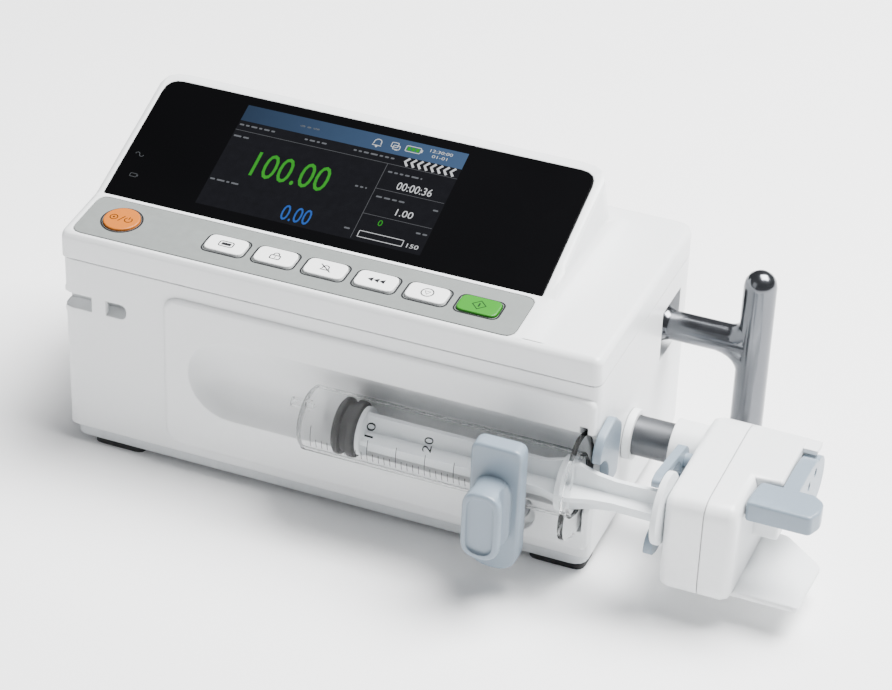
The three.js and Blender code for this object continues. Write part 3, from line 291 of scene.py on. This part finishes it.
def smoothing_group():
    """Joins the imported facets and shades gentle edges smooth."""
    group = bpy.data.node_groups.new("smooth_facets", "GeometryNodeTree")
    group.interface.new_socket("Geometry", in_out="INPUT", socket_type="NodeSocketGeometry")
    group.interface.new_socket("Geometry", in_out="OUTPUT", socket_type="NodeSocketGeometry")
    kinds = ["NodeGroupInput", "GeometryNodeRemoveAttribute", "GeometryNodeMergeByDistance",
             "GeometryNodeSetShadeSmooth", "GeometryNodeSetShadeSmooth", "NodeGroupOutput"]
    chain = [group.nodes.new(kind) for kind in kinds]
    chain[1].inputs["Name"].default_value = "custom_normal"
    chain[2].inputs["Distance"].default_value = WELD
    chain[4].domain = "EDGE"
    for a, b in zip(chain, chain[1:]):
        group.links.new(a.outputs[0], b.inputs[0])
    angle = group.nodes.new("GeometryNodeInputMeshEdgeAngle")
    gentle = group.nodes.new("FunctionNodeCompare")
    gentle.operation = "LESS_THAN"
    gentle.inputs[1].default_value = SMOOTH_LIMIT
    group.links.new(angle.outputs["Unsigned Angle"], gentle.inputs[0])
    group.links.new(gentle.outputs[0], chain[4].inputs["Shade Smooth"])
    return group


def dress_cad_nodes():
    group = smoothing_group()
    slots = {p["node"]: p["material_slot"] for p in frame["record"]["subparts"]}
    for name, node in frame["nodes"].items():
        finish = MILKY_PLASTIC if name == "syringe_plunger" else FINISHES[slots[name]]
        node.data.materials.clear()
        node.data.materials.append(finish)
        node.modifiers.new("facets", "NODES").node_group = group
        weighted = node.modifiers.new("flats", "WEIGHTED_NORMAL")
        weighted.keep_sharp = True
        weighted.weight = FLAT_WEIGHT


dress_cad_nodes()

# ---- Flat marks -------------------------------------------------------------------------------
MARK_WELD = 0.0001 * MM


class Plane:
    """A flat face: origin, along (+X), up (towards the back) and normal, with marks in millimetres."""

    def __init__(self, origin, angle):
        self.origin = Vector(origin)
        self.along = Vector((1, 0, 0))
        self.up = Vector((0, math.cos(angle), math.sin(angle)))
        self.normal = Vector((0, -math.sin(angle), math.cos(angle)))

    def point(self, s, t, lift=DECAL):
        return self.origin + self.along * s * MM + self.up * t * MM + self.normal * lift


def build(name, loops, place, material, body):
    """Mesh of flat polygons; place maps each polygon's own (s, t) to space."""
    mesh = bmesh.new()
    for loop in loops:
        mesh.faces.new([mesh.verts.new(place(s, t)) for s, t in loop])
    bmesh.ops.remove_doubles(mesh, verts=mesh.verts, dist=MARK_WELD)
    data = bpy.data.meshes.new(name)
    mesh.to_mesh(data)
    mesh.free()
    data.materials.append(material)
    piece = bpy.data.objects.new(name, data)
    bpy.context.scene.collection.objects.link(piece)
    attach(piece, body)


def rectangle(s0, s1, t0, t1):
    """One quad, as a list of loops."""
    return [[(s0, t0), (s1, t0), (s1, t1), (s0, t1)]]


def polygon(s, t, radius, sides):
    """Regular polygon, which is a disc when it has many sides."""
    angles = [2 * math.pi * i / sides for i in range(sides)]
    return [[(s + radius * math.cos(a), t + radius * math.sin(a)) for a in angles]]


def rounded(s0, s1, t0, t1, radius, steps=5):
    """Corner points of a rounded rectangle, anticlockwise."""
    corners = [(s1 - radius, t1 - radius), (s0 + radius, t1 - radius),
               (s0 + radius, t0 + radius), (s1 - radius, t0 + radius)]
    points = []
    for quarter, (s, t) in enumerate(corners):
        for i in range(steps + 1):
            angle = math.pi / 2 * (quarter + i / steps)
            points.append((s + radius * math.cos(angle), t + radius * math.sin(angle)))
    return points


def arc(s, t, radius, start, end, steps):
    """Points along a circle, from one angle in degrees to another."""
    angles = [math.radians(start + (end - start) * i / steps) for i in range(steps + 1)]
    return [(s + radius * math.cos(a), t + radius * math.sin(a)) for a in angles]


def stroke(points, width, closed=False):
    """Quads that follow a line of points with mitred corners."""
    count = len(points)
    sides = []
    for i, (s, t) in enumerate(points):
        before = points[i - 1] if closed or i else points[i]
        after = points[(i + 1) % count] if closed or i + 1 < count else points[i]
        direction = Vector((after[0] - before[0], after[1] - before[1])).normalized()
        normal = Vector((-direction.y, direction.x)) * width / 2
        sides.append(((s + normal.x, t + normal.y), (s - normal.x, t - normal.y)))
    last = count if closed else count - 1
    quads = []
    for i in range(last):
        here = sides[i]
        there = sides[(i + 1) % count]
        quads.append([here[1], there[1], there[0], here[0]])
    return quads


def digits(text, s, t, height, width):
    """Polygons of a number in the built-in font, its lower left corner at (s, t), fitted to a size."""
    curve = bpy.data.curves.new("digits", "FONT")
    curve.body = text
    curve.resolution_u = 3
    maker = bpy.data.objects.new("digits", curve)
    bpy.context.scene.collection.objects.link(maker)
    bpy.context.view_layer.update()
    mesh = maker.to_mesh()
    points = [v.co.copy() for v in mesh.vertices]
    low_x, high_x = min(p.x for p in points), max(p.x for p in points)
    low_y, high_y = min(p.y for p in points), max(p.y for p in points)
    fit = []
    for p in points:
        across = (p.x - low_x) / (high_x - low_x)
        above = (p.y - low_y) / (high_y - low_y)
        fit.append((s + across * width, t + above * height))
    loops = [[fit[i] for i in face.vertices] for face in mesh.polygons]
    bpy.data.objects.remove(maker)
    bpy.data.curves.remove(curve)
    return loops


# ---- Screen -----------------------------------------------------------------------------------
SCREEN = {"left": 37.5, "low": 5.3, "width": 94.9, "height": 52.6}   # on the window, MM
HEADER_HEIGHT = 8.2
RULE_HEIGHT = 39.4        # of the line under the labels' first row
COLUMN = 65.8             # where the right-hand column starts
RULE_WIDTH = 0.22
GLASS_THICKNESS = 1.5
LABEL_HALF_HEIGHT = 0.4
LABEL_GAP = 0.8


def window_plane():
    """Front of the display window, its origin at the lower left corner."""
    low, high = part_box("display_window")
    run = high.y - GLASS_THICKNESS * MM * math.sin(DISPLAY_ANGLE) - low.y
    return Plane((low.x, low.y, high.z - run * math.tan(DISPLAY_ANGLE)), DISPLAY_ANGLE)


def screen_header(name, low, high):
    """Lit bar that fades from one blue to another along the screen."""
    n = Nodes(name)
    gradient = n.tree.nodes.new("ShaderNodeSeparateXYZ")
    n.link(n.coordinates, gradient.inputs["Vector"])
    ramp = n.tree.nodes.new("ShaderNodeMapRange")
    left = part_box("display_window")[0].x + SCREEN["left"] * MM
    ramp.inputs["From Min"].default_value = left
    ramp.inputs["From Max"].default_value = left + SCREEN["width"] * MM
    n.link(gradient.outputs["X"], ramp.inputs["Value"])
    colour = n.mix(ramp.outputs["Result"], low, high)
    n.link(colour, n.shader.inputs["Emission Color"])
    n.shader.inputs["Emission Strength"].default_value = 1.0
    n.shader.inputs["Specular IOR Level"].default_value = MARK_SPECULAR
    rough = n.spread(n.noise(200, 3), 0.08, 0.14)
    unlit = n.mix(n.noise(300), shade(low, 0.05), shade(low, 0.1))
    return n.finish(unlit, rough, n.bump(n.noise(900, 2), 0.05, 0.01 * MM))


def lit(name, colour, glow=1.0):
    return printed(name, colour, 0.12, glow)


def make_screen():
    window = window_plane()
    origin = window.point(SCREEN["left"], SCREEN["low"], 0)
    screen = Plane(origin, DISPLAY_ANGLE)

    def show(name, loops, material, level=2):
        def place(s, t):
            return screen.point(s, t, level * DECAL / 2)

        build("screen_" + name, loops, place, material, "housing")

    width, height = SCREEN["width"], SCREEN["height"]
    white = lit("lit_white", (0.8, 0.82, 0.84), 1.1)
    grey = lit("lit_grey", (0.13, 0.135, 0.145))
    green = lit("lit_green", (0.03, 0.4, 0.015))
    blue = lit("lit_blue", (0.02, 0.13, 0.55))
    show("panel", rectangle(0, width, 0, height), lit("lit_panel", (0.0022, 0.0025, 0.0032)), 1)
    fade = screen_header("lit_header", (0.022, 0.04, 0.075), (0.07, 0.13, 0.25))
    show("header", rectangle(0, width, height - HEADER_HEIGHT, height), fade)

    rules = stroke([(0, RULE_HEIGHT), (width, RULE_HEIGHT)], RULE_WIDTH)
    rules += stroke([(COLUMN, 0.8), (COLUMN, RULE_HEIGHT)], RULE_WIDTH)
    for t in (26.5, 13.5):
        rules += stroke([(COLUMN, t), (width - 0.4, t)], RULE_WIDTH)
    show("rules", rules, grey)
    show("rate", digits("100.00", 14.6, 18.6, 12.6, 32.0), green)
    show("total", digits("0.00", 35.0, 1.5, 7.6, 12.2), blue)
    show("time", digits("00:00:36", 73.6, 28.0, 3.8, 14.6), white)
    show("volume", digits("1.00", 78.2, 15.7, 3.3, 7.0), white)
    show("pressure", digits("0", 73.4, 9.1, 2.9, 1.8), green)
    show("limit", digits("150", 88.2, 2.2, 2.0, 4.8), white)
    show("bar", stroke(rounded(68.0, 86.4, 2.1, 5.1, 0.2), 0.3, True), white)

    chevrons = []
    for i in range(8):
        s = 71.6 + i * 2.75
        chevrons += stroke([(s + 1.9, 44.1), (s + 0.4, 42.1), (s + 1.9, 40.1)], 1.0)
    show("chevrons", chevrons, white)

    labels = []  # rows of dashes where the real screen has words, each from (s, t) for a length
    rows = [
        (0.6, 42.3, 15), (29, 42.1, 10), (50, 42.3, 17), (0.6, 36.3, 6.5), (0.6, 13.2, 13),
        (67.4, 35.6, 14), (67.6, 22.7, 12), (57.6, 25.4, 4.6), (61.5, 4.8, 2), (91.6, 22.2, 2),
        (89.4, 9.9, 4.2), (24.5, 48.2, 8),
    ]
    for s, t, length in rows:
        at = s
        while at < s + length:
            dash = min(rng.uniform(1.2, 3.4), s + length + LABEL_GAP / 2 - at)
            labels.append(rounded(at, at + dash, t - LABEL_HALF_HEIGHT, t + LABEL_HALF_HEIGHT, 0.3, 2))
            at += dash + LABEL_GAP
    show("labels", labels, lit("lit_label", (0.17, 0.18, 0.195)))

    clock = digits("12:30:00", 79.6, 49.4, 1.5, 9.4) + digits("01-01", 81.2, 46.8, 1.5, 6.4)
    show("clock", clock, white, 3)
    dome = arc(57.9, 48.6, 1.5, 180, 0, 10)
    bell = [(56.0, 46.9), (56.4, 48.0), *dome, (59.4, 48.0), (59.8, 46.9)]
    network = stroke(rounded(63.6, 66.4, 47.9, 50.2, 0.4), 0.32, True)
    network += stroke([(65.6, 46.6), (66.8, 46.6)], 0.32)
    network += stroke(rounded(64.6, 67.4, 46.9, 48.9, 0.4), 0.32, True)
    show("icons", stroke(bell, 0.36, True) + polygon(57.9, 46.4, 0.5, 10) + network, white, 3)
    battery = stroke(rounded(69.8, 76.0, 47.3, 50.1, 0.5), 0.34, True)
    show("battery", battery + rectangle(76.2, 76.8, 48.0, 49.4), white, 3)
    bars = []
    for i in range(3):
        bars += rectangle(70.4 + i * 1.8, 71.8 + i * 1.8, 47.8, 49.6)
    show("charge", bars, green, 3)

    mains = arc(4.6, 22.0, 0.9, 180, 0, 8) + arc(6.4, 22.0, 0.9, 180, 360, 8)
    accumulator = stroke(rounded(6.2, 9.0, 10.7, 12.3, 0.3), 0.28, True) + rectangle(9.2, 9.6, 11.1, 11.9)
    marks = stroke(mains, 0.3) + accumulator
    build("indicator_marks", marks, window.point, INK_GREY, "housing")


make_screen()

# ---- Keys -------------------------------------------------------------------------------------
KEY_RISE = 3.45    # from a key's middle to its top face, MM
FILM_RISE = 2.55   # from a key's middle to the keypad film round it, MM
KEY_HALF_WIDTH = 8.9
KEY_HALF_HEIGHT = 5.65
KEY_CORNER = 2.6
POWER_RADIUS = 8.1
# width of the black ring of painted shade round each key's gap, MM
GAP_SHADE_WIDTH = 0.7
LINE = 0.5         # width of the symbols' lines, MM
POWER_LINE = 0.42


def key_plane(name, rise):
    """Plane above a key's middle."""
    low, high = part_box(name)
    plane = Plane((low + high) / 2, KEYPAD_ANGLE)
    plane.origin += plane.normal * rise * MM
    return plane


def bell_outline(s, t, size):
    dome = arc(s, t, 0.62 * size, 180, 0, 10)
    return [(s - size, t - 0.75 * size), (s - 0.62 * size, t - 0.3 * size), *dome,
            (s + 0.62 * size, t - 0.3 * size), (s + size, t - 0.75 * size)]


def power_symbol():
    """A ring with a dot, a slash, and an open ring with a bar."""
    ring = stroke(arc(-3.4, 0, 1.5, 0, 360, 28)[:-1], POWER_LINE, True)
    dot = polygon(-3.4, 0, 0.5, 14)
    slash = stroke([(-0.9, -1.9), (0.7, 1.9)], POWER_LINE)
    open_ring = stroke(arc(2.9, -0.1, 1.5, 125, 415, 24), POWER_LINE)
    bar = stroke([(2.9, 0.2), (2.9, 1.9)], POWER_LINE)
    return ring + dot + slash + open_ring + bar


def key_symbols():
    menu = stroke(rounded(-2.9, 2.9, -1.6, 1.6, 0.9), LINE, True) + rectangle(-2.0, 2.0, -0.8, 0.8)
    shackle = stroke([(-1.1, 0.1), *arc(0, 0.9, 1.1, 180, 0, 10), (1.1, 0.1)], LINE)
    lock = stroke(rounded(-2.0, 2.0, -1.9, 0.4, 0.5), LINE, True) + rectangle(-0.2, 0.2, -1.2, -0.2)
    mute = stroke(bell_outline(0, 0.3, 2.0), LINE, True) + stroke([(-2.5, 2.1), (2.5, -2.1)], LINE)
    fast = [[(s, 0), (s + 2.3, -1.35), (s + 2.3, 1.35)] for s in (-3.6, -1.2, 1.2)]
    circle = arc(0, 0, 2.4, 0, 360, 32)[:-1]
    triangle = [(-1.15, 0.75), (1.15, 0.75), (0, -1.2)]
    diamond = [(0, -2.6), (2.7, 0), (0, 2.6), (-2.7, 0)]
    return {
        "key_menu": menu,
        "key_lock": shackle + lock,
        "key_mute": mute,
        "key_fast": fast,
        "key_stop": stroke(circle, LINE, True) + stroke(triangle, LINE, True),
        "key_start": stroke(diamond, LINE, True) + stroke([(0, -1.1), (0, 1.1)], 0.6),
        "key_power": power_symbol(),
    }


# Black ring on the film round a key: painted shade of the gap between the key and its hole.
def key_outline(name):
    if name == "key_power":
        return stroke(arc(0, 0, POWER_RADIUS, 0, 360, 48)[:-1], GAP_SHADE_WIDTH, True)
    corners = rounded(-KEY_HALF_WIDTH, KEY_HALF_WIDTH, -KEY_HALF_HEIGHT, KEY_HALF_HEIGHT, KEY_CORNER)
    return stroke(corners, GAP_SHADE_WIDTH, True)


def make_keys():
    inks = {"key_power": printed("ink_brown", (0.06, 0.018, 0.002))}
    for name, loops in key_symbols().items():
        top = key_plane(name, KEY_RISE)
        film = key_plane(name, FILM_RISE)
        ink = inks.get(name, INK_BLACK)
        build(name + "_symbol", loops, top.point, ink, name)
        # the black ring round each key is painted shade of the gap round it
        build(name + "_gap_shade", key_outline(name), film.point, INK_BLACK, "housing")


make_keys()

# ---- Syringe marks ----------------------------------------------------------------------------
MARK_PITCH = 2.335    # one millilitre along the barrel, MM
FIRST_MARK = 13.3     # from the barrel's tip end to 0 ml, MM
CAPACITY = 30         # ml
MARK_HALF_WIDTH = 0.13
MARK_LIFT = 0.06      # above the barrel, MM
BARREL_RADIUS = 12.8
MARK_START = 182      # degrees round the barrel, 90 at the top
LONG_MARK_START = 158
MARK_END = 200
MARK_STEPS = 8
NUMERAL_HEIGHT = 3.6
NUMERAL_WIDTH = 5.8
NUMERAL_START = math.radians(153)


def barrel_point(along, angle):
    low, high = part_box("syringe_barrel")
    centre_y = (low.y + high.y) / 2
    centre_z = (low.z + high.z) / 2
    radius = (BARREL_RADIUS + MARK_LIFT) * MM
    return Vector((
        low.x + along * MM,
        centre_y + radius * math.cos(angle),
        centre_z + radius * math.sin(angle),
    ))


def make_graduations():
    loops = []
    for ml in range(CAPACITY + 1):
        along = FIRST_MARK + ml * MARK_PITCH
        near = along - MARK_HALF_WIDTH
        far = along + MARK_HALF_WIDTH
        start = LONG_MARK_START if ml % 5 == 0 else MARK_START
        steps = [math.radians(start + (MARK_END - start) * i / MARK_STEPS) for i in range(MARK_STEPS + 1)]
        for a, b in zip(steps, steps[1:]):
            loops.append([(near, a), (far, a), (far, b), (near, b)])
    build("graduations", loops, barrel_point, INK_BLACK, "housing")
    for ml in range(10, CAPACITY + 1, 10):
        middle = FIRST_MARK + ml * MARK_PITCH + NUMERAL_HEIGHT / 2

        def place(s, t):
            return barrel_point(middle - t, NUMERAL_START - s / BARREL_RADIUS)

        loops = digits(str(ml), 0, 0, NUMERAL_HEIGHT, NUMERAL_WIDTH)
        build(f"numeral_{ml}", loops, place, INK_BLACK, "housing")


make_graduations()

# ---- Floor and light --------------------------------------------------------------------------
FLOOR_HALF = 6   # metres
FLOOR_GAP = 0.02 * MM
SKY = (0.93, 0.95, 1, 1)
SKY_STRENGTH = 0.3


def make_floor():
    """Pale floor, just under the feet."""
    n = Nodes("floor")
    base = n.mix(n.spread(n.noise(3, 3), 0, 1), (0.93, 0.93, 0.93), (0.955, 0.955, 0.955))
    material = n.finish(base, n.spread(n.noise(20), 0.7, 0.8), n.bump(n.noise(200), 0.05, 0.1 * MM))
    mesh = bmesh.new()
    bmesh.ops.create_grid(mesh, x_segments=4, y_segments=4, size=FLOOR_HALF)
    data = bpy.data.meshes.new("floor")
    mesh.to_mesh(data)
    mesh.free()
    data.materials.append(material)
    floor = bpy.data.objects.new("floor", data)
    floor.location.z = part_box("foot_front_left")[0].z - FLOOR_GAP
    bpy.context.scene.collection.objects.link(floor)


def make_light(name, position, target, size, power):
    """Rectangular light aimed at a point, in metres and watts."""
    data = bpy.data.lights.new(name, "AREA")
    data.shape = "RECTANGLE"
    data.size, data.size_y = size
    data.energy = power
    light = bpy.data.objects.new(name, data)
    light.location = position
    light.rotation_euler = (Vector(target) - Vector(position)).to_track_quat("-Z", "Y").to_euler()
    bpy.context.scene.collection.objects.link(light)


def make_world():
    world = bpy.data.worlds.new("studio")
    world.use_nodes = True
    background = world.node_tree.nodes["Background"]
    background.inputs["Color"].default_value = SKY
    background.inputs["Strength"].default_value = SKY_STRENGTH
    bpy.context.scene.world = world


make_floor()
make_light("overhead", (0.55, 0.4, 1.5), (0.05, 0, 0), (1.0, 1.2), 135)
make_light("front_fill", (-0.9, -1.4, 0.9), (0, 0, 0.05), (1.0, 1.0), 4)
make_world()
